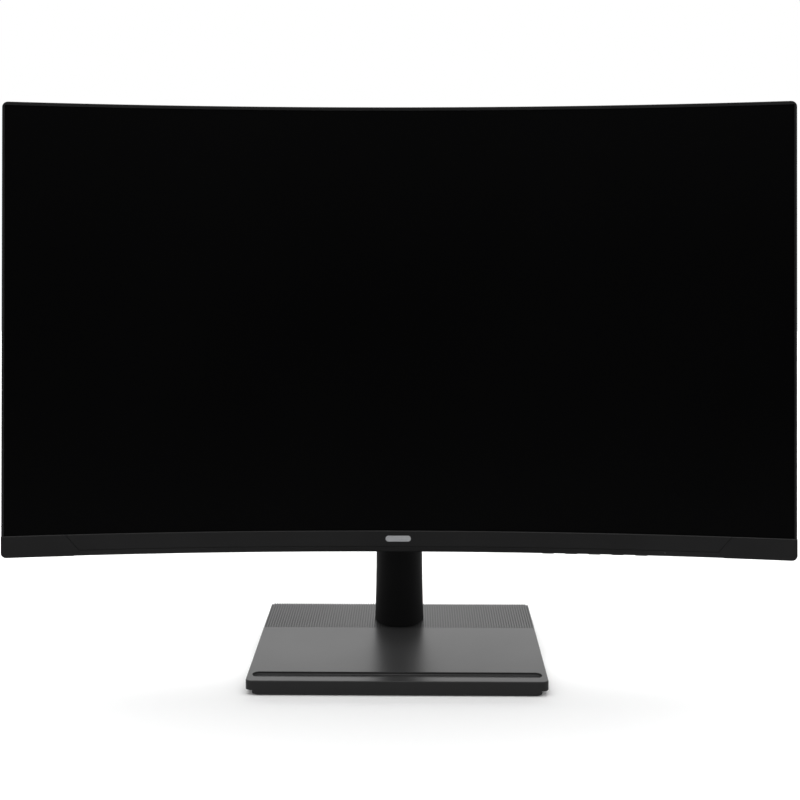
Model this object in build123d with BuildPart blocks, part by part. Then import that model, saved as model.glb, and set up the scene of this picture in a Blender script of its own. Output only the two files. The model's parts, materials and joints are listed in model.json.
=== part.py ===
from build123d import *
import os
from math import asin, cos, degrees, radians, sin, sqrt

os.makedirs("parts", exist_ok=True)

# ---------------------------------------------------------------- driving dimensions, in mm
SCREEN_RADIUS = 1500  # curvature of the screen in plan, centred in front of it
HEAD_WIDTH = 609
HEAD_HEIGHT = 351
HEAD_CORNER = 4.4
CHIN_HEIGHT = 16.7
REST_TILT = 5  # degrees that the head leans back
SCREEN_Y = -1  # middle of the screen's face
SCREEN_Z = 262
HINGE_DEPTH = 58  # tilt axis behind the screen's face
HINGE_DROP = 20  # tilt axis below the screen's middle

BASE_WIDTH = 224
BASE_DEPTH = 180
BASE_TOP = 11
BASE_CORNER = 4.5

# Depths of the head's layers behind its front, measured on its centre line
BEZEL_FRONT = 0.4
LIP_BACK = 1.5
GLASS = (1.6, 2.8)
PRISM = (3.0, 3.3)
DIFFUSER = (3.4, 3.7)
GUIDE = (3.8, 6.8)
REFLECTOR = (6.9, 7.15)
TRAY_WALL = (7.3, 8.1)
SHELL_JOINT = 11  # where the front frame meets the rear cover
COVER_BACK = 16
BULGE_BACK = 42
POCKET_FLOOR = 24

# Half sizes of the nested frames, from the outside inwards
HALF_W = HEAD_WIDTH / 2
HALF_H = HEAD_HEIGHT / 2
WALL = 1.6
TOP_LIP = 2.6  # how far the bezel reaches over the screen from its outer faces
SIDE_LIP = 1.95
LIP_EDGE = 0.6  # rounding of the bezel's front edges
CHIN_TOP = CHIN_HEIGHT - HALF_H
CHIN_FLOOR = 1.8
GLASS_HALF_W = HALF_W - WALL - 0.2
GLASS_TOP = HALF_H - WALL - 0.5
GLASS_BOTTOM = CHIN_TOP - 4.7
MOULD_HALF_W = HALF_W - WALL - 0.3
MOULD_TOP = HALF_H - WALL - 0.3
MOULD_BOTTOM = GLASS_BOTTOM - 2
MOULD_RIM = 4
TRAY_HALF_W = MOULD_HALF_W - MOULD_RIM - 0.3
TRAY_TOP = MOULD_TOP - MOULD_RIM - 0.3
TRAY_BOTTOM = MOULD_BOTTOM + 3.3
TRAY_SHEET = 0.8
GUIDE_HALF_W = TRAY_HALF_W - TRAY_SHEET - 0.5
GUIDE_TOP = TRAY_TOP - TRAY_SHEET - 0.5
GUIDE_BOTTOM = TRAY_BOTTOM + 4

# ---------------------------------------------------------------- the head's own frame
TILT = radians(REST_TILT)
UP = Vector(0, sin(TILT), cos(TILT))
BACK = Vector(0, cos(TILT), -sin(TILT))
SCREEN_CENTRE = Vector(0, SCREEN_Y, SCREEN_Z)
CURVE_AXIS = Axis(SCREEN_CENTRE - BACK * SCREEN_RADIUS, UP)
THROUGH = 120  # longer than the head is deep


def level(height=0):
    """Section plane square to the head's height: X right, Y back."""
    return Plane(SCREEN_CENTRE + UP * height, x_dir=(1, 0, 0), z_dir=UP)


def across(depth=0):
    """Plane facing forward, this far behind the front: X right, Y up the head."""
    return Plane(SCREEN_CENTRE + BACK * depth, x_dir=(1, 0, 0), z_dir=BACK * -1)


def profile(x=0):
    """Side view plane of the head, facing right: X back, Y up the head."""
    return Plane(SCREEN_CENTRE + Vector(x, 0, 0), x_dir=BACK, z_dir=(1, 0, 0))


HEAD = level()
HINGE = SCREEN_CENTRE + BACK * HINGE_DEPTH - UP * HINGE_DROP
STEM_Y = HINGE.Y


def curve_y(x, depth):
    """How far back the layer at this depth lies, x to the side."""
    return sqrt((SCREEN_RADIUS + depth) ** 2 - x**2) - SCREEN_RADIUS


def on_curve(x, depth, height=0):
    """Place on a layer, turned to face along the curve, in the head's frame."""
    turn = -degrees(asin(x / (SCREEN_RADIUS + depth)))
    return Location((x, curve_y(x, depth), height), (0, 0, turn))


def strip(front, back, half_width):
    """Level section of a curved layer between two depths."""
    with BuildSketch(Plane.XY, mode=Mode.PRIVATE) as section:
        with BuildLine():
            near = ThreePointArc(
                (-half_width, curve_y(half_width, front)),
                (0, front),
                (half_width, curve_y(half_width, front)),
            )
            far = ThreePointArc(
                (-half_width, curve_y(half_width, back)),
                (0, back),
                (half_width, curve_y(half_width, back)),
            )
            Line(near @ 0, far @ 0)
            Line(near @ 1, far @ 1)
        make_face()
    return section.sketch


# ================================================================ front of the head
# Bezel: a lip round three sides of the screen and the walls behind it
with BuildPart() as bezel_frame:
    with BuildSketch(level(CHIN_TOP)):
        add(strip(BEZEL_FRONT, SHELL_JOINT, HALF_W))
    extrude(amount=HEAD_HEIGHT - CHIN_HEIGHT)
    top_corners = bezel_frame.edges().filter_by(Axis(SCREEN_CENTRE, BACK)).group_by(Axis.Z)[-1]
    fillet(top_corners, HEAD_CORNER)
    front_face = bezel_frame.faces().sort_by(SortBy.AREA)[-2:].sort_by(Axis.Y)[0]
    fillet(front_face.edges().sort_by(Axis.Z)[1:], LIP_EDGE)
    with BuildSketch(level(CHIN_TOP - 1)):
        add(strip(LIP_BACK, SHELL_JOINT + 1, HALF_W - WALL))
    extrude(amount=HALF_H - WALL - CHIN_TOP + 1, mode=Mode.SUBTRACT)
    with BuildSketch(level(CHIN_TOP - 1)):
        add(strip(-1, LIP_BACK + 1, HALF_W - SIDE_LIP))
    extrude(amount=HALF_H - TOP_LIP - CHIN_TOP + 1, mode=Mode.SUBTRACT)
bezel_frame.part.label = "bezel_frame"
export_step(bezel_frame.part, "parts/bezel_frame.step")

# Chin: a hollow curved trough with a bevelled lower band, an engraved line and chevron seams
CHIN_SKIN = 2.2
CHIN_EDGE = 0.5  # small bevels along the chin's upper and lower front edges
CHIN_TURN = 12  # degrees of the screen's curve that reach past either end
LINE_UP = 4.5  # engraved line above the chin's lower edge
ENGRAVED = 0.4
GROOVE_WIDTH = 0.5
BEVEL = 0.9  # how far the lower band slants back
BEVEL_FOOT = 0.8
CHEVRON_TOP_X = 258
CHEVRON_TIP_X = 247
CHEVRON_FOOT_X = 252
BADGE_SIZE = (20, 4.6)
BADGE_PROUD = 0.2
BADGE_EDGE = 0.15
BADGE_UP = 10.5  # badge's middle above the chin's lower edge
KEY_DEPTH = 5.5
KEY_X = {"menu": 118, "down": 136, "up": 154, "source": 172, "power": 190}
KEY_SLOT = (10, 4)
LED_X = 207
LED_RADIUS = 0.8
LED_UP = 2.7
LED_FRONT = curve_y(LED_X, 0)

with BuildPart() as chevrons:
    with BuildSketch(across(-THROUGH / 2)):
        with BuildLine() as seam:
            Polyline(
                (CHEVRON_TOP_X, CHIN_TOP + 1),
                (CHEVRON_TIP_X, LINE_UP - HALF_H),
                (CHEVRON_FOOT_X, -HALF_H - 1),
            )
            offset(amount=GROOVE_WIDTH / 2, side=Side.BOTH)
        make_face()
        mirror(about=Plane.YZ)
        with Locations((0, LINE_UP - HALF_H)):
            Rectangle(2 * CHEVRON_TIP_X, GROOVE_WIDTH)
    extrude(amount=-THROUGH)
    with BuildSketch(level(-HALF_H - 1)):
        add(strip(-1, ENGRAVED, HALF_W))
    extrude(amount=CHIN_HEIGHT + 2, mode=Mode.INTERSECT)

with BuildPart() as chin_hollow:
    with BuildSketch(profile()):
        with BuildLine():
            Polyline(
                (SHELL_JOINT + 1, CHIN_FLOOR - HALF_H),
                (CHIN_SKIN, CHIN_FLOOR - HALF_H),
                (CHIN_SKIN, GLASS_BOTTOM - 1),
                (LIP_BACK, GLASS_BOTTOM - 1),
                (LIP_BACK, CHIN_TOP + 1),
                (SHELL_JOINT + 1, CHIN_TOP + 1),
                close=True,
            )
        make_face()
    revolve(axis=CURVE_AXIS, revolution_arc=-CHIN_TURN)
    with BuildSketch(level(-HALF_H - 1)):
        Rectangle(HEAD_WIDTH - 2 * WALL, 2 * THROUGH)
    extrude(amount=CHIN_HEIGHT + 3, mode=Mode.INTERSECT)
    mirror(about=Plane.YZ)

with BuildPart() as lower_bevel:
    with BuildSketch(profile()):
        with BuildLine():
            Polyline(
                (-1, LINE_UP - HALF_H),
                (0, LINE_UP - HALF_H),
                (BEVEL, BEVEL_FOOT - HALF_H),
                (BEVEL + BEVEL_FOOT, -HALF_H),
                (BEVEL + BEVEL_FOOT, -HALF_H - 1),
                (-1, -HALF_H - 1),
                close=True,
            )
        make_face()
    revolve(axis=CURVE_AXIS, revolution_arc=-CHIN_TURN)
    mirror(about=Plane.YZ)
    with BuildSketch(across(-THROUGH / 2)):
        with BuildLine():
            Polyline(
                (-CHEVRON_TIP_X, LINE_UP - HALF_H + 1),
                (-CHEVRON_TIP_X, LINE_UP - HALF_H),
                (-CHEVRON_FOOT_X, -HALF_H - 1),
                (CHEVRON_FOOT_X, -HALF_H - 1),
                (CHEVRON_TIP_X, LINE_UP - HALF_H),
                (CHEVRON_TIP_X, LINE_UP - HALF_H + 1),
                close=True,
            )
        make_face()
    extrude(amount=-THROUGH, mode=Mode.INTERSECT)

with BuildPart() as chin:
    with BuildSketch(profile()):
        with BuildLine():
            Polyline(
                (CHIN_EDGE, CHIN_TOP),
                (0, CHIN_TOP - CHIN_EDGE),
                (0, CHIN_EDGE - HALF_H),
                (CHIN_EDGE, -HALF_H),
                (SHELL_JOINT, -HALF_H),
                (SHELL_JOINT, CHIN_TOP),
                close=True,
            )
        make_face()
    revolve(axis=CURVE_AXIS, revolution_arc=-CHIN_TURN)
    mirror(about=Plane.YZ)
    with BuildSketch(across(-THROUGH / 2)):
        RectangleRounded(HEAD_WIDTH, HEAD_HEIGHT, HEAD_CORNER)
    extrude(amount=-THROUGH, mode=Mode.INTERSECT)
    add(chin_hollow.part, mode=Mode.SUBTRACT)
    add(lower_bevel.part, mode=Mode.SUBTRACT)
    add(chevrons.part, mode=Mode.SUBTRACT)
    with BuildSketch(across(-1)):
        with Locations((0, BADGE_UP - HALF_H)):
            SlotOverall(BADGE_SIZE[0] + 0.2, BADGE_SIZE[1] + 0.2)
    extrude(amount=-1 - ENGRAVED, mode=Mode.SUBTRACT)
    with BuildSketch(level(-HALF_H - 1)):
        with Locations([on_curve(x, KEY_DEPTH) for x in KEY_X.values()]):
            Rectangle(*KEY_SLOT)
    extrude(amount=CHIN_FLOOR + 1.5, mode=Mode.SUBTRACT)
    with BuildSketch(across(LED_FRONT - 1)):
        with Locations((LED_X, LED_UP - HALF_H)):
            Circle(LED_RADIUS + 0.05)
    extrude(amount=-5, mode=Mode.SUBTRACT)
chin.part.label = "chin"
export_step(chin.part, "parts/chin.step")

# Badge: a plain raised bar in its recess
with BuildPart() as badge:
    with BuildSketch(across(ENGRAVED)):
        with Locations((0, BADGE_UP - HALF_H)):
            SlotOverall(*BADGE_SIZE)
    extrude(amount=ENGRAVED + BADGE_PROUD)
    fillet(badge.faces().sort_by(Axis(SCREEN_CENTRE, BACK))[0].edges(), BADGE_EDGE)
badge.part.label = "badge"
export_step(badge.part, "parts/badge.step")

# Keys: five caps under the chin, each held in by a flange
KEY_CAP = (9.6, 3.6)
KEY_CORNER = 1.2
KEY_EDGE = 0.3
KEY_FLANGE = (11.2, 4.4, 0.8)
KEY_PROUD = 0.8
KEY_TRAVEL = 0.8
FLANGE_BOTTOM = CHIN_FLOOR + 0.05 - HALF_H
for key_name, x in KEY_X.items():
    with BuildPart(HEAD) as key:
        with BuildSketch(level(-HALF_H - KEY_PROUD)):
            with Locations(on_curve(x, KEY_DEPTH)):
                RectangleRounded(*KEY_CAP, KEY_CORNER)
        extrude(amount=KEY_PROUD + CHIN_FLOOR + 0.05)
        fillet(key.faces().sort_by(Axis(SCREEN_CENTRE, UP))[0].edges(), KEY_EDGE)
        with Locations(on_curve(x, KEY_DEPTH, FLANGE_BOTTOM + KEY_FLANGE[2] / 2)):
            Box(*KEY_FLANGE)
    key.part.label = f"key_{key_name}"
    export_step(key.part, f"parts/key_{key_name}.step")

# Key board: a narrow circuit board with one switch over each key
KEY_BOARD = (106, 5.6, 1.0)
KEY_BOARD_X = 161
SWITCH = (4.5, 3.5)
SWITCH_BOTTOM = FLANGE_BOTTOM + KEY_FLANGE[2] + KEY_TRAVEL + 0.05
KEY_BOARD_BOTTOM = 5.7 - HALF_H
with BuildPart(HEAD) as key_board:
    with Locations(on_curve(KEY_BOARD_X, KEY_DEPTH, KEY_BOARD_BOTTOM + KEY_BOARD[2] / 2)):
        Box(*KEY_BOARD)
    switch_tall = KEY_BOARD_BOTTOM - SWITCH_BOTTOM
    with Locations([on_curve(x, KEY_DEPTH, SWITCH_BOTTOM + switch_tall / 2) for x in KEY_X.values()]):
        Box(*SWITCH, switch_tall)
key_board.part.label = "key_board"
export_step(key_board.part, "parts/key_board.step")

# Power light: a clear pin through the chin's lower band
LED_BACK = 0.55  # pin's face behind the chin's front
LED_LONG = 3
with BuildPart() as power_light:
    with BuildSketch(across(LED_FRONT + LED_BACK)):
        with Locations((LED_X, LED_UP - HALF_H)):
            Circle(LED_RADIUS)
    extrude(amount=-LED_LONG)
power_light.part.label = "power_light"
export_step(power_light.part, "parts/power_light.step")

# ================================================================ the screen and its backlight
# Liquid-crystal panel: one curved sheet of glass
with BuildPart() as lcd_panel:
    with BuildSketch(level(GLASS_BOTTOM)):
        add(strip(*GLASS, GLASS_HALF_W))
    extrude(amount=GLASS_TOP - GLASS_BOTTOM)
lcd_panel.part.label = "lcd_panel"
export_step(lcd_panel.part, "parts/lcd_panel.step")

# Prism, diffuser, light guide and reflector: curved sheets stacked behind the glass
for sheet_name, (front, back) in {
    "prism_sheet": PRISM,
    "diffuser_sheet": DIFFUSER,
    "light_guide": GUIDE,
    "reflector_sheet": REFLECTOR,
}.items():
    with BuildPart() as sheet:
        with BuildSketch(level(GUIDE_BOTTOM)):
            add(strip(front, back, GUIDE_HALF_W))
        extrude(amount=GUIDE_TOP - GUIDE_BOTTOM)
    sheet.part.label = sheet_name
    export_step(sheet.part, f"parts/{sheet_name}.step")

# Moulded frame: the plastic rim that carries the glass
with BuildPart() as mould_frame:
    with BuildSketch(level(MOULD_BOTTOM)):
        add(strip(GLASS[1] + 0.1, TRAY_WALL[1], MOULD_HALF_W))
    extrude(amount=MOULD_TOP - MOULD_BOTTOM)
    with BuildSketch(level(MOULD_BOTTOM + 3)):
        add(strip(0, SHELL_JOINT, MOULD_HALF_W - MOULD_RIM))
    extrude(amount=MOULD_TOP - MOULD_RIM - MOULD_BOTTOM - 3, mode=Mode.SUBTRACT)
mould_frame.part.label = "mould_frame"
export_step(mould_frame.part, "parts/mould_frame.step")

# Backlight tray: a folded steel pan round the light guide
with BuildPart() as backlight_tray:
    with BuildSketch(level(TRAY_BOTTOM)):
        add(strip(PRISM[0] + 0.2, TRAY_WALL[1], TRAY_HALF_W))
    extrude(amount=TRAY_TOP - TRAY_BOTTOM)
    with BuildSketch(level(TRAY_BOTTOM + TRAY_SHEET)):
        add(strip(0, TRAY_WALL[0], TRAY_HALF_W - TRAY_SHEET))
    extrude(amount=TRAY_TOP - TRAY_BOTTOM - 2 * TRAY_SHEET, mode=Mode.SUBTRACT)
backlight_tray.part.label = "backlight_tray"
export_step(backlight_tray.part, "parts/backlight_tray.step")

# Light bar: a curved circuit board along the tray's lower wall, with a row of diodes
LIGHT_BAR_HALF_W = 290
LIGHT_BAR_THICK = 1.2
DIODE = (3.5, 1.4, 1.2)
DIODE_COUNT = 56
DIODE_END = 6  # last diode's middle from the bar's end
LIGHT_BAR_BOTTOM = TRAY_BOTTOM + TRAY_SHEET + 0.05
DIODE_MIDDLE = LIGHT_BAR_BOTTOM + LIGHT_BAR_THICK + DIODE[2] / 2
with BuildPart() as light_bar:
    with BuildSketch(level(LIGHT_BAR_BOTTOM)):
        add(strip(*GUIDE, LIGHT_BAR_HALF_W))
    extrude(amount=LIGHT_BAR_THICK)
light_bar.part.label = "light_bar"
export_step(light_bar.part, "parts/light_bar.step")

diode_pitch = 2 * (LIGHT_BAR_HALF_W - DIODE_END) / (DIODE_COUNT - 1)
diode_row = [(i - (DIODE_COUNT - 1) / 2) * diode_pitch for i in range(DIODE_COUNT)]
with BuildPart(HEAD) as backlight_diodes:
    with Locations([on_curve(x, sum(GUIDE) / 2, DIODE_MIDDLE) for x in diode_row]):
        Box(*DIODE)
backlight_diodes.part.label = "backlight_diodes"
export_step(backlight_diodes.part, "parts/backlight_diodes.step")

# ================================================================ electronics behind the tray
CHASSIS = (8.3, 9.3)  # flat plate behind the tray
CHASSIS_HALF_W = 156
CHASSIS_TOP = 60
CHASSIS_BOTTOM = -108
CHASSIS_CORNER = 6
POCKET_HALF_W = 62
POCKET_TOP = 42
POCKET_BOTTOM = -82
COVER_WALL = 2
POST_TOP = POCKET_FLOOR - COVER_WALL
MOUNT_BOLTS = (100, 100)  # wall mount's holes, spaced across and up
HINGE_BOLTS = (44, 44)
COVER_BOLTS = (84, 56)
THREAD = 2  # radius of the wall mount's and the hinge's threads
SMALL_THREAD = 1.5  # the same for the cover's and the boards' screws
THREAD_DEEP = 10
MOUNT_POST = 5
HINGE_POST = 4.5
COVER_POST = 3.5
BOARD_POST = 3
BOARD_THREAD_DEEP = 4
BOARD_FRONT = 14
BOARD_THICK = 1.6
MAIN_BOARD = (84, 120)
POWER_BOARD = (84, 130)
MAIN_BOLTS = (74, 110)
POWER_BOLTS = (74, 120)
BOARD_HOLE = 1.6
BOARD_X = 112
BOARD_BOTTOM = -102
POWER_BOTTOM = -82
PORT_X = {"displayport": -136, "hdmi_port": -112, "audio_jack": -90}
BOARD_BACK = BOARD_FRONT + BOARD_THICK
main_middle = (-BOARD_X, BOARD_BOTTOM + MAIN_BOARD[1] / 2)
power_middle = (BOARD_X, POWER_BOTTOM + POWER_BOARD[1] / 2)


def about_hinge(spacing, radius):
    """Four circles in a sketch, about the height of the hinge."""
    with Locations((0, -HINGE_DROP)):
        with GridLocations(*spacing, 2, 2):
            Circle(radius)


def board_corners(radius):
    """Circles in a sketch at the screws of both boards."""
    for middle, spacing in ((main_middle, MAIN_BOLTS), (power_middle, POWER_BOLTS)):
        with Locations(middle):
            with GridLocations(*spacing, 2, 2):
                Circle(radius)


# Chassis: the steel plate that carries the boards, with posts for the hinge, wall mount and cover
with BuildPart() as chassis:
    with BuildSketch(across(CHASSIS[0])):
        with Locations((0, (CHASSIS_TOP + CHASSIS_BOTTOM) / 2)):
            RectangleRounded(2 * CHASSIS_HALF_W, CHASSIS_TOP - CHASSIS_BOTTOM, CHASSIS_CORNER)
    extrude(amount=CHASSIS[0] - CHASSIS[1])
    with BuildSketch(across(CHASSIS[1])):
        about_hinge(MOUNT_BOLTS, MOUNT_POST)
        about_hinge(HINGE_BOLTS, HINGE_POST)
        about_hinge(COVER_BOLTS, COVER_POST)
    extrude(amount=CHASSIS[1] - POST_TOP)
    with BuildSketch(across(CHASSIS[1])):
        board_corners(BOARD_POST)
    extrude(amount=CHASSIS[1] - BOARD_FRONT)
    with BuildSketch(across(POST_TOP)):
        about_hinge(MOUNT_BOLTS, THREAD)
        about_hinge(HINGE_BOLTS, THREAD)
        about_hinge(COVER_BOLTS, SMALL_THREAD)
    extrude(amount=THREAD_DEEP, mode=Mode.SUBTRACT)
    with BuildSketch(across(BOARD_FRONT)):
        board_corners(SMALL_THREAD)
    extrude(amount=BOARD_THREAD_DEEP, mode=Mode.SUBTRACT)
chassis.part.label = "chassis"
export_step(chassis.part, "parts/chassis.step")

# Main board: picture processor, with the signal ports on its lower edge
CHIPS = (  # right of and above the board's middle, then width, thickness and height
    (0, 10, 26, 2, 26),
    (-24, 18, 11, 1.5, 14),
    (24, 34, 10, 3, 10),
)
with BuildPart(HEAD) as main_board:
    with BuildSketch(across(BOARD_FRONT)):
        with Locations(main_middle):
            Rectangle(*MAIN_BOARD)
            with GridLocations(*MAIN_BOLTS, 2, 2):
                Circle(BOARD_HOLE, mode=Mode.SUBTRACT)
    extrude(amount=-BOARD_THICK)
    for right, up, wide, thick, tall in CHIPS:
        with Locations((main_middle[0] + right, BOARD_BACK + thick / 2, main_middle[1] + up)):
            Box(wide, thick, tall)
main_board.part.label = "main_board"
export_step(main_board.part, "parts/main_board.step")

# Power board, its transformer, capacitor and heat sink
with BuildPart() as power_board:
    with BuildSketch(across(BOARD_FRONT)):
        with Locations(power_middle):
            Rectangle(*POWER_BOARD)
            with GridLocations(*POWER_BOLTS, 2, 2):
                Circle(BOARD_HOLE, mode=Mode.SUBTRACT)
    extrude(amount=-BOARD_THICK)
power_board.part.label = "power_board"
export_step(power_board.part, "parts/power_board.step")



def on_power_board(right, up, thick):
    """Middle of a component, right of and above the middle of the power board."""
    return (power_middle[0] + right, BOARD_BACK + thick / 2, power_middle[1] + up)


CORE_SIZE = (30, 18, 14)
COIL_SIZE = (22, 17, 28)
with BuildPart(HEAD) as transformer:
    with Locations(on_power_board(8, 8, CORE_SIZE[1])):
        Box(*CORE_SIZE)
        Box(*COIL_SIZE)
    fillet(transformer.edges().filter_by(Axis(SCREEN_CENTRE, BACK)), 1)
transformer.part.label = "transformer"
export_step(transformer.part, "parts/transformer.step")

CAPACITOR_RADIUS = 9
CAPACITOR_LONG = 32
with BuildPart(HEAD) as bulk_capacitor:
    with Locations(on_power_board(-22, 12, 2 * CAPACITOR_RADIUS)):
        Cylinder(CAPACITOR_RADIUS, CAPACITOR_LONG)
    fillet(bulk_capacitor.edges(), 1)
bulk_capacitor.part.label = "bulk_capacitor"
export_step(bulk_capacitor.part, "parts/bulk_capacitor.step")

SINK_BASE = (50, 3, 20)
FIN = (1.6, 12.2, 20)
FIN_COUNT = 6
FIN_PITCH = 9
with BuildPart(HEAD) as heat_sink:
    with Locations(on_power_board(0, -34, SINK_BASE[1])):
        Box(*SINK_BASE)
        with GridLocations(FIN_PITCH, 1, FIN_COUNT, 1):
            with Locations((0, (SINK_BASE[1] + FIN[1]) / 2 - 0.1, 0)):
                Box(*FIN)
heat_sink.part.label = "heat_sink"
export_step(heat_sink.part, "parts/heat_sink.step")

# Signal ports: shells open downwards, each with its contact tongue
PORT_MOUTH = -109
PORT_LONG = 11.5
PORT_Y = BOARD_BACK + 3.05
PORT_SIZES = {"hdmi_port": (15, 6), "displayport": (17.6, 6)}
PORT_WALL = 0.5
PORT_END = 1.6  # thickness of the closed end
TONGUE_THICK = 1.2
TONGUE_SIDE = 2  # room beside the tongue
TONGUE_BACK = 0.3  # the tongue lies this far behind the middle
TONGUE_UP = 2  # from the mouth to the tongue's tip
for port_name, (wide, deep) in PORT_SIZES.items():
    with BuildPart(HEAD) as port:
        with Locations((PORT_X[port_name], PORT_Y, PORT_MOUTH + PORT_LONG / 2)):
            Box(wide, deep, PORT_LONG)
        with Locations((PORT_X[port_name], PORT_Y, PORT_MOUTH + (PORT_LONG - PORT_END) / 2)):
            Box(wide - 2 * PORT_WALL, deep - 2 * PORT_WALL, PORT_LONG - PORT_END, mode=Mode.SUBTRACT)
        with Locations((PORT_X[port_name], PORT_Y + TONGUE_BACK, PORT_MOUTH + (PORT_LONG + TONGUE_UP) / 2)):
            Box(wide - 2 * TONGUE_SIDE, TONGUE_THICK, PORT_LONG - TONGUE_UP)
    port.part.label = port_name
    export_step(port.part, f"parts/{port_name}.step")

JACK_BODY = (8, 6, PORT_LONG - 1)
JACK_NOSE = (2.9, 2)  # radius and length, like the bore
JACK_BORE = (1.8, PORT_LONG - 2)
with BuildPart(HEAD) as audio_jack:
    with Locations((PORT_X["audio_jack"], PORT_Y, PORT_MOUTH + PORT_LONG - JACK_BODY[2] / 2)):
        Box(*JACK_BODY)
    with Locations((PORT_X["audio_jack"], PORT_Y, PORT_MOUTH + JACK_NOSE[1] / 2)):
        Cylinder(*JACK_NOSE)
    with Locations((PORT_X["audio_jack"], PORT_Y, PORT_MOUTH + JACK_BORE[1] / 2)):
        Cylinder(*JACK_BORE, mode=Mode.SUBTRACT)
audio_jack.part.label = "audio_jack"
export_step(audio_jack.part, "parts/audio_jack.step")

# Port plate: thin steel round the mouths of the signal ports
PORT_PLATE = (76, 11)
PORT_PLATE_PLACE = (-116, 18.5)
PORT_PLATE_SHEET = 0.8
PORT_PLATE_UP = 1.4  # above the mouths
PORT_GAP = 0.2  # round each port
with BuildPart() as port_plate:
    with BuildSketch(level(PORT_MOUTH + PORT_PLATE_UP)):
        with Locations(PORT_PLATE_PLACE):
            Rectangle(*PORT_PLATE)
        for port_name, (wide, deep) in {**PORT_SIZES, "audio_jack": JACK_BODY[:2]}.items():
            with Locations((PORT_X[port_name], PORT_Y)):
                Rectangle(wide + 2 * PORT_GAP, deep + 2 * PORT_GAP, mode=Mode.SUBTRACT)
    extrude(amount=PORT_PLATE_SHEET)
port_plate.part.label = "port_plate"
export_step(port_plate.part, "parts/port_plate.step")

# Board shield: a perforated steel lid over the main board
SHIELD_SHEET = 0.6
SHIELD = (72, 104, 2)  # width, height and corner radius
SHIELD_INSIDE = (SHIELD[0] - 2 * SHIELD_SHEET, SHIELD[1] - 2 * SHIELD_SHEET, SHIELD[2] - SHIELD_SHEET)
SHIELD_FRONT = BOARD_BACK + 0.05
SHIELD_BACK = 30
SHIELD_HOLE = 2.2
SHIELD_HOLES = (9, 9, 6, 9)  # spacing across and up, then columns and rows
with BuildPart() as board_shield:
    with BuildSketch(across(SHIELD_FRONT)):
        with Locations(main_middle):
            RectangleRounded(*SHIELD)
    extrude(amount=SHIELD_FRONT - SHIELD_BACK)
    with BuildSketch(across(SHIELD_FRONT)):
        with Locations(main_middle):
            RectangleRounded(*SHIELD_INSIDE)
    extrude(amount=SHIELD_FRONT + SHIELD_SHEET - SHIELD_BACK, mode=Mode.SUBTRACT)
    with BuildSketch(across(SHIELD_BACK + 1)):
        with Locations(main_middle):
            with GridLocations(*SHIELD_HOLES):
                Circle(SHIELD_HOLE)
    extrude(amount=SHIELD_SHEET + 2, mode=Mode.SUBTRACT)
board_shield.part.label = "board_shield"
export_step(board_shield.part, "parts/board_shield.step")

# Mains inlet: a three-pin appliance inlet open downwards
INLET_X = 112
INLET_Y = 24
INLET_MOUTH = -110
INLET = (27, 20.5, 21)
INLET_CORNER = 1.5
INLET_CAVITY = (22.6, 15.4, 17)
INLET_CHAMFER = 4
with BuildPart() as ac_inlet:
    with BuildSketch(level(INLET_MOUTH)):
        with Locations((INLET_X, INLET_Y)):
            RectangleRounded(INLET[0], INLET[1], INLET_CORNER)
    extrude(amount=INLET[2])
    with BuildSketch(level(INLET_MOUTH)) as cavity:
        with Locations((INLET_X, INLET_Y)):
            Rectangle(INLET_CAVITY[0], INLET_CAVITY[1])
        chamfer(cavity.vertices().group_by(Axis.Y)[-1], INLET_CHAMFER)
    extrude(amount=INLET_CAVITY[2], mode=Mode.SUBTRACT)
ac_inlet.part.label = "ac_inlet"
export_step(ac_inlet.part, "parts/ac_inlet.step")

PIN = (2, 4)
PIN_LONG = 12
PIN_PLACES = ((-7, -2), (7, -2), (0, 2))
with BuildPart() as inlet_pins:
    with BuildSketch(level(INLET_MOUTH + INLET_CAVITY[2] - PIN_LONG)):
        with Locations([(INLET_X + right, INLET_Y + back) for right, back in PIN_PLACES]):
            Rectangle(*PIN)
    extrude(amount=PIN_LONG)
inlet_pins.part.label = "inlet_pins"
export_step(inlet_pins.part, "parts/inlet_pins.step")

# Timing board: a narrow board behind the tray's lower edge
TIMING_PLACE = (-60, 10, -138)
TIMING_BOARD = (110, 1.2, 22)
TIMING_CHIP = (14, 1, 10)
with BuildPart(HEAD) as timing_board:
    with Locations(on_curve(*TIMING_PLACE)):
        Box(*TIMING_BOARD)
        with Locations((0, (TIMING_BOARD[1] + TIMING_CHIP[1]) / 2, 2)):
            Box(*TIMING_CHIP)
timing_board.part.label = "timing_board"
export_step(timing_board.part, "parts/timing_board.step")

# Panel cable: from the timing board up to the main board, which lies further back
PANEL_CABLE_X = -90
PANEL_CABLE_HALF_W = 10
with BuildPart() as panel_cable:
    with BuildSketch(profile(PANEL_CABLE_X)):
        with BuildLine():
            Polyline(
                (9.6, -130),
                (9.6, -94),
                (13.9, -90),
                (13.9, -90.5),
                (9.9, -94.2),
                (9.9, -130),
                close=True,
            )
        make_face()
    extrude(amount=PANEL_CABLE_HALF_W, both=True)
panel_cable.part.label = "panel_cable"
export_step(panel_cable.part, "parts/panel_cable.step")

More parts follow.
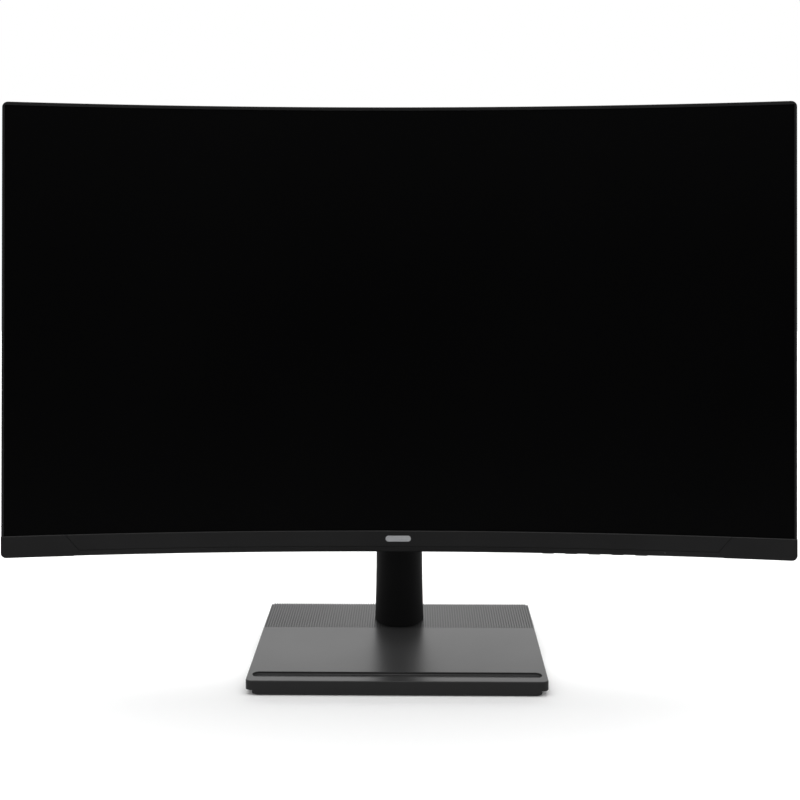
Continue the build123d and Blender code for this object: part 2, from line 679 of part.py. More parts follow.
# Backlight and key cables: flat runs, each lying in its own curved layer behind the tray
BACKLIGHT_CABLE = (6, 72)
BACKLIGHT_CABLE_PLACE = (120, -122)
BACKLIGHT_CABLE_LAYER = (9.5, 10.1)
with BuildPart() as backlight_cable:
    with BuildSketch(across(-THROUGH / 2)):
        with Locations(BACKLIGHT_CABLE_PLACE):
            Rectangle(*BACKLIGHT_CABLE)
    extrude(amount=-THROUGH)
    with BuildSketch(level(-HALF_H)):
        add(strip(*BACKLIGHT_CABLE_LAYER, HALF_W))
    extrude(amount=HEAD_HEIGHT, mode=Mode.INTERSECT)
backlight_cable.part.label = "backlight_cable"
export_step(backlight_cable.part, "parts/backlight_cable.step")

KEY_CABLE_WIDE = 8
KEY_CABLE_RISE = 53  # length of the run up from the key board
KEY_CABLE_ACROSS = 241  # length of the run towards the main board
KEY_CABLE_TURN = -120  # height of that run
KEY_CABLE_LAYER = (8.9, 9.2)
with BuildPart() as key_cable:
    with BuildSketch(across(-THROUGH / 2)):
        with Locations((KEY_BOARD_X, KEY_CABLE_TURN + (KEY_CABLE_WIDE - KEY_CABLE_RISE) / 2)):
            Rectangle(KEY_CABLE_WIDE, KEY_CABLE_RISE)
        with Locations((KEY_BOARD_X + (KEY_CABLE_WIDE - KEY_CABLE_ACROSS) / 2, KEY_CABLE_TURN)):
            Rectangle(KEY_CABLE_ACROSS, KEY_CABLE_WIDE)
    extrude(amount=-THROUGH)
    with BuildSketch(level(-HALF_H)):
        add(strip(*KEY_CABLE_LAYER, HALF_W))
    extrude(amount=HEAD_HEIGHT, mode=Mode.INTERSECT)
key_cable.part.label = "key_cable"
export_step(key_cable.part, "parts/key_cable.step")

# Board screws: one at each corner of the two boards
BOARD_SCREW_HEAD = (2.6, 1.8)  # radius and height
BOARD_SCREW_SHANK = (1.4, 5)  # radius and length
with BuildPart() as board_screws:
    with BuildSketch(across(BOARD_BACK)):
        board_corners(BOARD_SCREW_HEAD[0])
    extrude(amount=-BOARD_SCREW_HEAD[1])
    with BuildSketch(across(BOARD_BACK)):
        board_corners(BOARD_SCREW_SHANK[0])
    extrude(amount=BOARD_SCREW_SHANK[1])
board_screws.part.label = "board_screws"
export_step(board_screws.part, "parts/board_screws.step")

# ================================================================ rear cover
BULGE_HALF_W = 170
BULGE_TOP = 70
BULGE_BOTTOM = -115
BULGE_INSET = 12  # the bulge's walls lean in by this over its whole depth
BULGE_CORNER = 14
CHANNEL_HALF_W = 27
CHANNEL_FLOOR = 20  # depth of the channel's floor at its lower end
CHANNEL_START = POCKET_BOTTOM + 7
CHANNEL_END = BULGE_BOTTOM - 10
POCKET_CORNER = 6
RIM_FILLET = 3
BULGE_EDGE = 5
bulge_middle = (BULGE_TOP + BULGE_BOTTOM) / 2
bulge_tall = BULGE_TOP - BULGE_BOTTOM
wall_lean = BULGE_INSET / BULGE_BACK


def bulge_outline(depth, inside=0):
    """Outline of the bulge at this depth, or of the hollow inside it."""
    shrink = 2 * (wall_lean * depth + inside)
    with BuildSketch(Plane.XY, mode=Mode.PRIVATE) as outline:
        with Locations((0, bulge_middle)):
            RectangleRounded(2 * BULGE_HALF_W - shrink, bulge_tall - shrink, BULGE_CORNER - inside)
    return outline.sketch


def neck_space(wall):
    """Room for the hinge and the neck in the bulge's back, or that room with its walls."""
    with BuildPart() as space:
        with BuildSketch(across(POCKET_FLOOR - wall)):
            with Locations((0, (POCKET_TOP + POCKET_BOTTOM) / 2)):
                pocket_tall = POCKET_TOP - POCKET_BOTTOM
                RectangleRounded(2 * (POCKET_HALF_W + wall), pocket_tall + 2 * wall, POCKET_CORNER)
        extrude(amount=-THROUGH)
        with BuildSketch(profile(-CHANNEL_HALF_W - wall)):
            with BuildLine():
                Polyline(
                    (POCKET_FLOOR - wall, CHANNEL_START),
                    (CHANNEL_FLOOR - wall, CHANNEL_END),
                    (THROUGH, CHANNEL_END),
                    (THROUGH, CHANNEL_START),
                    close=True,
                )
            make_face()
        extrude(amount=2 * (CHANNEL_HALF_W + wall))
    return space.part


with BuildPart() as cover_cavity:
    with BuildSketch(across(0)):
        add(bulge_outline(0, COVER_WALL))
    with BuildSketch(across(BULGE_BACK - COVER_WALL)):
        add(bulge_outline(BULGE_BACK - COVER_WALL, COVER_WALL))
    loft()
    add(neck_space(COVER_WALL), mode=Mode.SUBTRACT)
    with BuildSketch(level(-HALF_H - 5)):
        add(strip(-60, SHELL_JOINT, HALF_W + 5))
    extrude(amount=HEAD_HEIGHT + 10)
    with BuildSketch(level(COVER_WALL - HALF_H)):
        add(strip(SHELL_JOINT - 1, COVER_BACK - COVER_WALL, HALF_W - WALL))
    extrude(amount=HEAD_HEIGHT - 2 * COVER_WALL)

# Rear cover: a thin curved shell with a bulge for the electronics and a pocket for the hinge
VENT = (22, 3)
VENT_PITCH = 7
VENT_COUNT = 12
VENT_GAP = 6  # between the two rows
VENT_UP = BULGE_TOP - 40
PORT_WINDOW = (76, 13)
PORT_WINDOW_PLACE = (PORT_PLATE_PLACE[0], 19)
INLET_WINDOW = (INLET[0] + 1, INLET[1] + 1)
LOCK_SLOT = (7, 3)
LOCK_PLACE = (-145, -40)
with BuildPart() as rear_cover:
    with BuildSketch(level(-HALF_H)):
        add(strip(SHELL_JOINT - 1, COVER_BACK, HALF_W))
    extrude(amount=HEAD_HEIGHT)
    with BuildSketch(across(-THROUGH / 2)):
        RectangleRounded(HEAD_WIDTH, HEAD_HEIGHT, HEAD_CORNER)
    extrude(amount=-THROUGH, mode=Mode.INTERSECT)
    curved_back = rear_cover.faces().filter_by(GeomType.CYLINDER).sort_by(Axis.Y)[-1]
    fillet(curved_back.edges(), RIM_FILLET)
    with BuildSketch(across(0)):
        add(bulge_outline(0))
    with BuildSketch(across(BULGE_BACK)):
        add(bulge_outline(BULGE_BACK))
    loft()
    back_face = rear_cover.faces().filter_by(GeomType.PLANE).sort_by(Axis(SCREEN_CENTRE, BACK))[-1]
    fillet(back_face.edges(), BULGE_EDGE)
    add(cover_cavity.part, mode=Mode.SUBTRACT)
    add(neck_space(0), mode=Mode.SUBTRACT)
    with BuildSketch(across(POCKET_FLOOR - COVER_WALL - 1)):
        about_hinge(MOUNT_BOLTS, THREAD + 0.6)
        about_hinge(HINGE_BOLTS, THREAD + 0.6)
        about_hinge(COVER_BOLTS, SMALL_THREAD + 0.3)
    extrude(amount=-COVER_WALL - 2, mode=Mode.SUBTRACT)
    with BuildSketch(across(BULGE_BACK - 5)):
        with Locations((-BOARD_X, VENT_UP), (BOARD_X, VENT_UP)):
            with GridLocations(VENT_PITCH, VENT[0] + VENT_GAP, VENT_COUNT, 2):
                SlotOverall(*VENT, rotation=90)
        with Locations(LOCK_PLACE):
            SlotOverall(*LOCK_SLOT)
    extrude(amount=-10, mode=Mode.SUBTRACT)
    with BuildSketch(level(BULGE_BOTTOM - 2)):
        with Locations(PORT_WINDOW_PLACE):
            Rectangle(*PORT_WINDOW)
        with Locations((INLET_X, INLET_Y)):
            Rectangle(*INLET_WINDOW)
    extrude(amount=16, mode=Mode.SUBTRACT)
rear_cover.part.label = "rear_cover"
export_step(rear_cover.part, "parts/rear_cover.step")

# Cover screws: four in the pocket's floor
COVER_SCREW_HEAD = (3, 2)  # radius and height
COVER_SCREW_EDGE = 0.6
COVER_SCREW_CROSS = (3.2, 0.7)
COVER_SCREW_SHANK = (1.4, 10)  # radius and length
CROSS_DEEP = 1.1
with BuildPart() as cover_screws:
    with BuildSketch(across(POCKET_FLOOR)):
        about_hinge(COVER_BOLTS, COVER_SCREW_HEAD[0])
    extrude(amount=-COVER_SCREW_HEAD[1])
    fillet(cover_screws.faces().group_by(Axis(SCREEN_CENTRE, BACK))[-1].edges(), COVER_SCREW_EDGE)
    with BuildSketch(across(POCKET_FLOOR + COVER_SCREW_HEAD[1])):
        with Locations((0, -HINGE_DROP)):
            with GridLocations(*COVER_BOLTS, 2, 2):
                Rectangle(*COVER_SCREW_CROSS)
                Rectangle(*COVER_SCREW_CROSS, rotation=90)
    extrude(amount=CROSS_DEEP, mode=Mode.SUBTRACT)
    with BuildSketch(across(POCKET_FLOOR)):
        about_hinge(COVER_BOLTS, COVER_SCREW_SHANK[0])
    extrude(amount=COVER_SCREW_SHANK[1])
cover_screws.part.label = "cover_screws"
export_step(cover_screws.part, "parts/cover_screws.step")

# ================================================================ tilt hinge
PLATE = (64, 64)
PLATE_THICK = 2.5
PLATE_CORNER = 5
PLATE_BACK = POCKET_FLOOR + PLATE_THICK
SHAFT_RADIUS = 4
BARREL_RADIUS = 10
BARREL_HALF = 19.4
WASHER = (9, 0.9)
EAR_IN = BARREL_HALF + 1.0
EAR_THICK = 3
EAR_RADIUS = 9.5
EAR_ROOT = 14
SPRING = (8, 1.9)
NUT = (6.5, 4.6)
RUNNING = 0.05  # radial clearance of the turning parts

# Hinge plate: steel plate screwed to the head, with two ears round the shaft
with BuildPart() as hinge_plate:
    with BuildSketch(across(POCKET_FLOOR)):
        with Locations((0, -HINGE_DROP)):
            RectangleRounded(*PLATE, PLATE_CORNER)
            with GridLocations(*HINGE_BOLTS, 2, 2):
                Circle(THREAD + 0.2, mode=Mode.SUBTRACT)
    extrude(amount=-PLATE_THICK)
    for ear_x in (-EAR_IN - EAR_THICK, EAR_IN):
        with BuildSketch(profile(ear_x)):
            with Locations((HINGE_DEPTH, -HINGE_DROP)):
                Circle(EAR_RADIUS)
            with Locations((PLATE_BACK - 1, -HINGE_DROP)):
                Rectangle(1, 2 * EAR_ROOT)
            make_hull()
        extrude(amount=EAR_THICK)
    with BuildSketch(profile(-PLATE[0])):
        with Locations((HINGE_DEPTH, -HINGE_DROP)):
            Circle(SHAFT_RADIUS + RUNNING)
    extrude(amount=2 * PLATE[0], mode=Mode.SUBTRACT)
hinge_plate.part.label = "hinge_plate"
export_step(hinge_plate.part, "parts/hinge_plate.step")

# Hinge screws: four through the plate into the chassis posts
HINGE_SCREW_HEAD = (3.5, 2.6)
HINGE_SCREW_EDGE = 0.8
HINGE_SCREW_CROSS = (4, 0.9)
HINGE_SCREW_LONG = 12
with BuildPart() as hinge_screws:
    with BuildSketch(across(PLATE_BACK)):
        about_hinge(HINGE_BOLTS, HINGE_SCREW_HEAD[0])
    extrude(amount=-HINGE_SCREW_HEAD[1])
    fillet(hinge_screws.faces().group_by(Axis(SCREEN_CENTRE, BACK))[-1].edges(), HINGE_SCREW_EDGE)
    with BuildSketch(across(PLATE_BACK + HINGE_SCREW_HEAD[1])):
        with Locations((0, -HINGE_DROP)):
            with GridLocations(*HINGE_BOLTS, 2, 2):
                Rectangle(*HINGE_SCREW_CROSS)
                Rectangle(*HINGE_SCREW_CROSS, rotation=90)
    extrude(amount=CROSS_DEEP, mode=Mode.SUBTRACT)
    with BuildSketch(across(PLATE_BACK)):
        about_hinge(HINGE_BOLTS, THREAD - 0.1)
    extrude(amount=HINGE_SCREW_LONG)
hinge_screws.part.label = "hinge_screws"
export_step(hinge_screws.part, "parts/hinge_screws.step")

# The rest of the hinge stands with the neck, along the tilt axis
CROSSWISE = Plane(HINGE, x_dir=(0, 1, 0), z_dir=(1, 0, 0))
NECK_CORE = (18, 14)
CORE_SHEET = 2
PLUG = (NECK_CORE[0] - 2 * CORE_SHEET - 0.2, NECK_CORE[1] - 2 * CORE_SHEET - 0.2)
CORE_TOP = HINGE.Z - BARREL_RADIUS - 0.1
PLUG_LONG = 42
NECK_SCREW_Z = CORE_TOP - 14
NECK_SCREWS = ((0, NECK_SCREW_Z), (0, NECK_SCREW_Z - 18))

# Hinge barrel: a steel barrel that holds the shaft, with a plug that enters the neck's core
with BuildPart() as hinge_barrel:
    with BuildSketch(CROSSWISE.offset(-BARREL_HALF)):
        Circle(BARREL_RADIUS)
    extrude(amount=2 * BARREL_HALF)
    with BuildSketch(Plane.XY.offset(CORE_TOP - PLUG_LONG)):
        with Locations((0, STEM_Y)):
            Rectangle(*PLUG)
    extrude(amount=PLUG_LONG + 3)
    with BuildSketch(CROSSWISE.offset(-BARREL_HALF - 1)):
        Circle(SHAFT_RADIUS + 0.01)
    extrude(amount=2 * BARREL_HALF + 2, mode=Mode.SUBTRACT)
    with BuildSketch(Plane.XZ.offset(-STEM_Y - 20)):
        with Locations(*NECK_SCREWS):
            Circle(2)
    extrude(amount=20, mode=Mode.SUBTRACT)
hinge_barrel.part.label = "hinge_barrel"
export_step(hinge_barrel.part, "parts/hinge_barrel.step")

SHAFT_HALF = EAR_IN + EAR_THICK + 10
with BuildPart() as hinge_shaft:
    with BuildSketch(CROSSWISE.offset(-SHAFT_HALF)):
        Circle(SHAFT_RADIUS)
    extrude(amount=2 * SHAFT_HALF)
    chamfer(hinge_shaft.edges(), 0.6)
hinge_shaft.part.label = "hinge_shaft"
export_step(hinge_shaft.part, "parts/hinge_shaft.step")

# Friction washers either side of each ear, disc springs and nuts on the shaft's ends
WASHER_GAP = 0.05
with BuildPart() as friction_washers:
    inner = BARREL_HALF + WASHER_GAP
    outer = EAR_IN + EAR_THICK + WASHER_GAP
    for start in (inner, outer, -inner - WASHER[1], -outer - WASHER[1]):
        with BuildSketch(CROSSWISE.offset(start)):
            Circle(WASHER[0])
            Circle(SHAFT_RADIUS + RUNNING, mode=Mode.SUBTRACT)
        extrude(amount=WASHER[1])
friction_washers.part.label = "friction_washers"
export_step(friction_washers.part, "parts/friction_washers.step")

SPRING_START = EAR_IN + EAR_THICK + 2 * WASHER_GAP + WASHER[1]
with BuildPart() as disc_springs:
    with BuildSketch(Plane(HINGE, x_dir=(1, 0, 0), z_dir=(0, -1, 0))):
        with BuildLine():
            Polyline(
                (SPRING_START, SPRING[0]),
                (SPRING_START + 0.8, SPRING[0]),
                (SPRING_START + SPRING[1], SHAFT_RADIUS + 0.1),
                (SPRING_START + SPRING[1] - 0.8, SHAFT_RADIUS + 0.1),
                close=True,
            )
        make_face()
        mirror(about=Plane.YZ)
    revolve(axis=Axis(HINGE, (1, 0, 0)))
disc_springs.part.label = "disc_springs"
export_step(disc_springs.part, "parts/disc_springs.step")

NUT_START = SPRING_START + SPRING[1] + WASHER_GAP
with BuildPart() as hinge_nuts:
    for start in (NUT_START, -NUT_START - NUT[1]):
        with BuildSketch(CROSSWISE.offset(start)):
            RegularPolygon(NUT[0], 6)
            Circle(SHAFT_RADIUS + 0.02, mode=Mode.SUBTRACT)
        extrude(amount=NUT[1])
hinge_nuts.part.label = "hinge_nuts"
export_step(hinge_nuts.part, "parts/hinge_nuts.step")

# ================================================================ neck
NECK_TOP = HINGE.Z + 15
NECK_SKIN = 2.2
NECK_HALF_W = 19
NECK_HALF_D = 19.4
NECK_FLARE_W = 1.5
NECK_FLARE_D = 7.6
NECK_STEPS = 12


def neck_oval(step, inside=0):
    """Height and half sizes of the neck's oval section, which flares towards its foot."""
    up = step / NECK_STEPS
    height = BASE_TOP + up * (NECK_TOP - inside - BASE_TOP)
    flare = (1 - up) ** 7
    half_w = NECK_HALF_W - inside + NECK_FLARE_W * flare
    half_d = NECK_HALF_D - inside + NECK_FLARE_D * flare
    return height, half_w, half_d


with BuildPart() as neck_hollow:
    for step in range(NECK_STEPS + 1):
        height, half_w, half_d = neck_oval(step, NECK_SKIN)
        with BuildSketch(Plane.XY.offset(height)):
            with Locations((0, STEM_Y)):
                Ellipse(half_w, half_d)
    loft()

with BuildPart() as neck_shell:
    for step in range(NECK_STEPS + 1):
        height, half_w, half_d = neck_oval(step)
        with BuildSketch(Plane.XY.offset(height)):
            with Locations((0, STEM_Y)):
                Ellipse(half_w, half_d)
    loft()
    fillet(neck_shell.faces().sort_by(Axis.Z)[-1].edges(), 4)
    add(neck_hollow.part, mode=Mode.SUBTRACT)
    with BuildSketch(CROSSWISE.offset(-30)):
        Circle(BARREL_RADIUS + 0.3)
    extrude(amount=60, mode=Mode.SUBTRACT)

# Neck covers: a front and a rear shell that meet along the neck's sides
for cover_name, kept in (("neck_front", Keep.TOP), ("neck_rear", Keep.BOTTOM)):
    with BuildPart() as neck_cover:
        add(neck_shell.part)
        split(bisect_by=Plane.XZ.offset(-STEM_Y), keep=kept)
    neck_cover.part.label = cover_name
    export_step(neck_cover.part, f"parts/{cover_name}.step")

# Neck core: a steel tube with a foot block that the base is bolted to
PLATE_TOP = 4.4
FOOT = (24, 32)
FOOT_CORNER = 3
FOOT_TOP = 16
BOLT_RADIUS = 3
with BuildPart() as neck_core:
    with BuildSketch(Plane.XY.offset(PLATE_TOP)):
        with Locations((0, STEM_Y)):
            RectangleRounded(*FOOT, FOOT_CORNER)
    extrude(amount=FOOT_TOP - PLATE_TOP)
    with BuildSketch(Plane.XY.offset(FOOT_TOP)):
        with Locations((0, STEM_Y)):
            RectangleRounded(*NECK_CORE, 2)
            Rectangle(NECK_CORE[0] - 2 * CORE_SHEET, NECK_CORE[1] - 2 * CORE_SHEET, mode=Mode.SUBTRACT)
    extrude(amount=CORE_TOP - FOOT_TOP)
    with BuildSketch(Plane.XY.offset(PLATE_TOP)):
        with Locations((0, STEM_Y)):
            Circle(BOLT_RADIUS)
    extrude(amount=FOOT_TOP - PLATE_TOP, mode=Mode.SUBTRACT)
    with BuildSketch(Plane.XZ.offset(-STEM_Y - 20)):
        with Locations(*NECK_SCREWS):
            Circle(2.1)
    extrude(amount=20, mode=Mode.SUBTRACT)
neck_core.part.label = "neck_core"
export_step(neck_core.part, "parts/neck_core.step")

# Neck screws: two from behind, through the core into the hinge barrel's plug
with BuildPart() as neck_screws:
    with BuildSketch(Plane.XZ.offset(-STEM_Y - NECK_CORE[1] / 2)):
        with Locations(*NECK_SCREWS):
            Circle(3.4)
    extrude(amount=-2)
    with BuildSketch(Plane.XZ.offset(-STEM_Y - NECK_CORE[1] / 2)):
        with Locations(*NECK_SCREWS):
            Circle(1.9)
    extrude(amount=7)
neck_screws.part.label = "neck_screws"
export_step(neck_screws.part, "parts/neck_screws.step")

# ================================================================ base
SLAB_BOTTOM = 4
BASE_SKIN = 2.2
EDGE_ROUND = 0.8
RIB_PITCH = 2.1
RIB_GROOVE = 1.1
RIB_DEEP = 1
RIB_COUNT = 106
RIB_LONG = 63
TROUGH = (216, 10)
TROUGH_DEEP = 2
TROUGH_FILLET = 1.3  # along its floor
TROUGH_LIP = 0.5  # rounding of its upper edge
TROUGH_Y = 13.5 - BASE_DEPTH / 2
TROUGH_SKIN = 1.5
TROUGH_UNDER = BASE_TOP - TROUGH_DEEP - TROUGH_SKIN
BASE_HOLLOW = (BASE_WIDTH - 2 * BASE_SKIN, BASE_DEPTH - 2 * BASE_SKIN, BASE_CORNER - BASE_SKIN)
BOSS_PLACES = (190, 118)
BOSS_RADIUS = 3.5

# Base cover: a flat slab, ribbed over its rear third, with a trough along its front for a phone
with BuildPart() as base_cover:
    with BuildSketch(Plane.XY.offset(SLAB_BOTTOM)):
        RectangleRounded(BASE_WIDTH, BASE_DEPTH, BASE_CORNER)
    extrude(amount=BASE_TOP - SLAB_BOTTOM)
    fillet(base_cover.faces().sort_by(Axis.Z)[-1].edges(), EDGE_ROUND)
    with BuildSketch(Plane.XY.offset(SLAB_BOTTOM)):
        RectangleRounded(*BASE_HOLLOW)
    extrude(amount=TROUGH_UNDER - SLAB_BOTTOM, mode=Mode.SUBTRACT)
    with BuildSketch(Plane.XY.offset(TROUGH_UNDER)):
        RectangleRounded(*BASE_HOLLOW)
        with Locations((0, TROUGH_Y)):
            SlotOverall(TROUGH[0] + 2 * TROUGH_SKIN, TROUGH[1] + 2 * TROUGH_SKIN, mode=Mode.SUBTRACT)
    extrude(amount=BASE_TOP - BASE_SKIN - TROUGH_UNDER, mode=Mode.SUBTRACT)
    with BuildSketch(Plane.XY.offset(BASE_TOP)):
        with Locations((0, TROUGH_Y)):
            SlotOverall(*TROUGH)
    extrude(amount=-TROUGH_DEEP, mode=Mode.SUBTRACT)
    near_trough = (TROUGH_Y - TROUGH[1], TROUGH_Y + TROUGH[1])
    for height, rounding in ((BASE_TOP - TROUGH_DEEP, TROUGH_FILLET), (BASE_TOP, TROUGH_LIP)):
        rims = base_cover.edges().filter_by_position(Axis.Z, height - 0.01, height + 0.01)
        fillet(rims.filter_by_position(Axis.Y, *near_trough), rounding)
    with BuildSketch(Plane.XY.offset(BASE_TOP)):
        with Locations((0, BASE_DEPTH / 2 - RIB_LONG / 2 + 1)):
            with GridLocations(RIB_PITCH, 1, RIB_COUNT, 1):
                Rectangle(RIB_GROOVE, RIB_LONG + 2)
    extrude(amount=-RIB_DEEP, mode=Mode.SUBTRACT)
    with BuildSketch(Plane.XY.offset(PLATE_TOP + 0.1)):
        with GridLocations(*BOSS_PLACES, 2, 2):
            Circle(BOSS_RADIUS)
    extrude(amount=BASE_TOP - BASE_SKIN - PLATE_TOP)
    with BuildSketch(Plane.XY.offset(PLATE_TOP)):
        with GridLocations(*BOSS_PLACES, 2, 2):
            Circle(1.5)
        with Locations((0, STEM_Y)):
            RectangleRounded(FOOT[0] + 0.6, FOOT[1] + 0.6, FOOT_CORNER)
    extrude(amount=4, mode=Mode.SUBTRACT)
    with BuildSketch(Plane.XY.offset(PLATE_TOP)):
        with Locations((0, STEM_Y)):
            RectangleRounded(FOOT[0] + 0.6, FOOT[1] + 0.6, FOOT_CORNER)
    extrude(amount=10, mode=Mode.SUBTRACT)
base_cover.part.label = "base_cover"
export_step(base_cover.part, "parts/base_cover.step")

# Base plate: the steel weight inside, clamped between cover and pan
PLATE_BOTTOM = 2.4
WEIGHT = (BASE_WIDTH - 15, BASE_DEPTH - 6)
WEIGHT_CORNER = 3
with BuildPart() as base_plate:
    with BuildSketch(Plane.XY.offset(PLATE_BOTTOM)):
        RectangleRounded(*WEIGHT, WEIGHT_CORNER)
        with GridLocations(*BOSS_PLACES, 2, 2):
            Circle(1.7, mode=Mode.SUBTRACT)
        with Locations((0, STEM_Y)):
            Circle(BOLT_RADIUS + 0.3, mode=Mode.SUBTRACT)
    extrude(amount=PLATE_TOP - PLATE_BOTTOM)
base_plate.part.label = "base_plate"
export_step(base_plate.part, "parts/base_plate.step")

# Base pan: the shallower lower moulding, flush in front and set in at both ends
PAN_BOTTOM = 0.8
PAN_INSET = 4.7
with BuildPart() as base_pan:
    with BuildSketch(Plane.XY.offset(PAN_BOTTOM)):
        RectangleRounded(BASE_WIDTH - 2 * PAN_INSET, BASE_DEPTH, BASE_CORNER)
    extrude(amount=SLAB_BOTTOM - PAN_BOTTOM)
    with BuildSketch(Plane.XY.offset(PLATE_BOTTOM)):
        RectangleRounded(WEIGHT[0] + 0.4, WEIGHT[1] + 0.4, WEIGHT_CORNER)
    extrude(amount=SLAB_BOTTOM - PLATE_BOTTOM, mode=Mode.SUBTRACT)
    with BuildSketch(Plane.XY.offset(PAN_BOTTOM)):
        with GridLocations(*BOSS_PLACES, 2, 2):
            Circle(3.2)
        with Locations((0, STEM_Y)):
            Circle(13)
    extrude(amount=PLATE_BOTTOM - PAN_BOTTOM, mode=Mode.SUBTRACT)
base_pan.part.label = "base_pan"
export_step(base_pan.part, "parts/base_pan.step")

# Plate screws: four from below, through the plate into the cover's bosses
with BuildPart() as plate_screws:
    with BuildSketch(Plane.XY.offset(PAN_BOTTOM + 0.3)):
        with GridLocations(*BOSS_PLACES, 2, 2):
            Circle(2.8)
    extrude(amount=PLATE_BOTTOM - PAN_BOTTOM - 0.3)
    with BuildSketch(Plane.XY.offset(PLATE_BOTTOM)):
        with GridLocations(*BOSS_PLACES, 2, 2):
            Circle(1.4)
    extrude(amount=5)
plate_screws.part.label = "plate_screws"
export_step(plate_screws.part, "parts/plate_screws.step")

# Base bolt: a wide slotted screw from below into the neck's foot
with BuildPart() as base_bolt:
    with BuildSketch(Plane.XY.offset(PAN_BOTTOM + 0.1)):
        with Locations((0, STEM_Y)):
            Circle(12)
    extrude(amount=PLATE_BOTTOM - PAN_BOTTOM - 0.1)
    with BuildSketch(Plane.XY.offset(PAN_BOTTOM)):
        with Locations((0, STEM_Y)):
            Rectangle(16, 1.8)
    extrude(amount=0.9, mode=Mode.SUBTRACT)
    with BuildSketch(Plane.XY.offset(PLATE_BOTTOM)):
        with Locations((0, STEM_Y)):
            Circle(BOLT_RADIUS - 0.1)
    extrude(amount=FOOT_TOP - PLATE_BOTTOM - 1)
base_bolt.part.label = "base_bolt"
export_step(base_bolt.part, "parts/base_bolt.step")

# Rubber feet: six pads under the pan
FOOT_PAD = (30, 9)
with BuildPart() as rubber_feet:
    with BuildSketch(Plane.XY):
        with GridLocations(150, BASE_DEPTH - 24, 2, 2):
            SlotOverall(*FOOT_PAD)
        with Locations((-90, 0), (90, 0)):
            SlotOverall(*FOOT_PAD, rotation=90)
    extrude(amount=PAN_BOTTOM)
rubber_feet.part.label = "rubber_feet"
export_step(rubber_feet.part, "parts/rubber_feet.step")
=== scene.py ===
"""A curved desktop monitor, switched off, on its slab base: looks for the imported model."""
import json
import math

import bmesh
import bpy
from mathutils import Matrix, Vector


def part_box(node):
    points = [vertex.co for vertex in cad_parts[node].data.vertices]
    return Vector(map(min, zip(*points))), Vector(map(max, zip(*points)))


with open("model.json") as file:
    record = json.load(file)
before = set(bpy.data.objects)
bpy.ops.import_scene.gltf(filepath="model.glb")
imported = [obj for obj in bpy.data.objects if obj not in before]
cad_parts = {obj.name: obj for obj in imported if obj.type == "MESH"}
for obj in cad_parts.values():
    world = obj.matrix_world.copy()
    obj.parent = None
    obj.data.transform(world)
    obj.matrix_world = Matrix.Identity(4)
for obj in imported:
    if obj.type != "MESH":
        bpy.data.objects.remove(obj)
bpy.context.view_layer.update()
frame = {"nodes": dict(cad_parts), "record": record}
nodes = frame["nodes"]

MM = 0.001
SLAB_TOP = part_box("base_cover")[1][2]
GROOVE_SHOULDER = 0.3 * MM
GROOVE_DEPTH = 1.0 * MM
RIBS_FROM = 27 * MM
RIBS_BLEND = 5 * MM
NOISE_DARK = 0.3
NOISE_LIGHT = 0.7


# ------------------------------------------------------------------ node helpers
def new_material(name):
    """A new material; returns it with its node tree and its shader."""
    material = bpy.data.materials.new(name)
    material.use_nodes = True
    tree = material.node_tree
    shader = tree.nodes["Principled BSDF"]
    return material, tree, shader


def object_coordinates(tree, scale=(1.0, 1.0, 1.0)):
    """Object coordinates in metres, scaled along each axis."""
    source = tree.nodes.new("ShaderNodeTexCoord")
    mapping = tree.nodes.new("ShaderNodeMapping")
    mapping.inputs["Scale"].default_value = scale
    tree.links.new(source.outputs["Object"], mapping.inputs["Vector"])
    return mapping.outputs["Vector"]


def noise(tree, coordinates, cells, detail=3.0, roughness=0.5):
    """A noise value of this many cells per metre."""
    node = tree.nodes.new("ShaderNodeTexNoise")
    node.inputs["Scale"].default_value = cells
    node.inputs["Detail"].default_value = detail
    node.inputs["Roughness"].default_value = roughness
    tree.links.new(coordinates, node.inputs["Vector"])
    return node.outputs["Fac"]


def spread(tree, value, low, high):
    """Maps the usual run of a noise value onto a range."""
    node = tree.nodes.new("ShaderNodeMapRange")
    node.inputs["From Min"].default_value = NOISE_DARK
    node.inputs["From Max"].default_value = NOISE_LIGHT
    node.inputs["To Min"].default_value = low
    node.inputs["To Max"].default_value = high
    tree.links.new(value, node.inputs["Value"])
    return node.outputs["Result"]


def ramp(tree, value, start, stop, low=0.0, high=1.0):
    """A smooth rise from low to high as the value goes from start to stop."""
    node = tree.nodes.new("ShaderNodeMapRange")
    node.interpolation_type = "SMOOTHSTEP"
    node.inputs["From Min"].default_value = start
    node.inputs["From Max"].default_value = stop
    node.inputs["To Min"].default_value = low
    node.inputs["To Max"].default_value = high
    tree.links.new(value, node.inputs["Value"])
    return node.outputs["Result"]


def times(tree, first, second):
    """The product of two values."""
    node = tree.nodes.new("ShaderNodeMath")
    node.operation = "MULTIPLY"
    tree.links.new(first, node.inputs[0])
    tree.links.new(second, node.inputs[1])
    return node.outputs[0]


def two_tone(tree, value, first, second):
    """A colour that runs from one to the other with the value."""
    node = tree.nodes.new("ShaderNodeMix")
    node.data_type = "RGBA"
    node.inputs[6].default_value = (*first, 1.0)
    node.inputs[7].default_value = (*second, 1.0)
    tree.links.new(value, node.inputs[0])
    return node.outputs[2]


def bump(tree, height, depth):
    """A bump this deep, in metres."""
    node = tree.nodes.new("ShaderNodeBump")
    node.inputs["Distance"].default_value = depth
    tree.links.new(height, node.inputs["Height"])
    return node.outputs["Normal"]


def darkened(colour, share):
    """This share of the colour's brightness."""
    return tuple(channel * share for channel in colour)


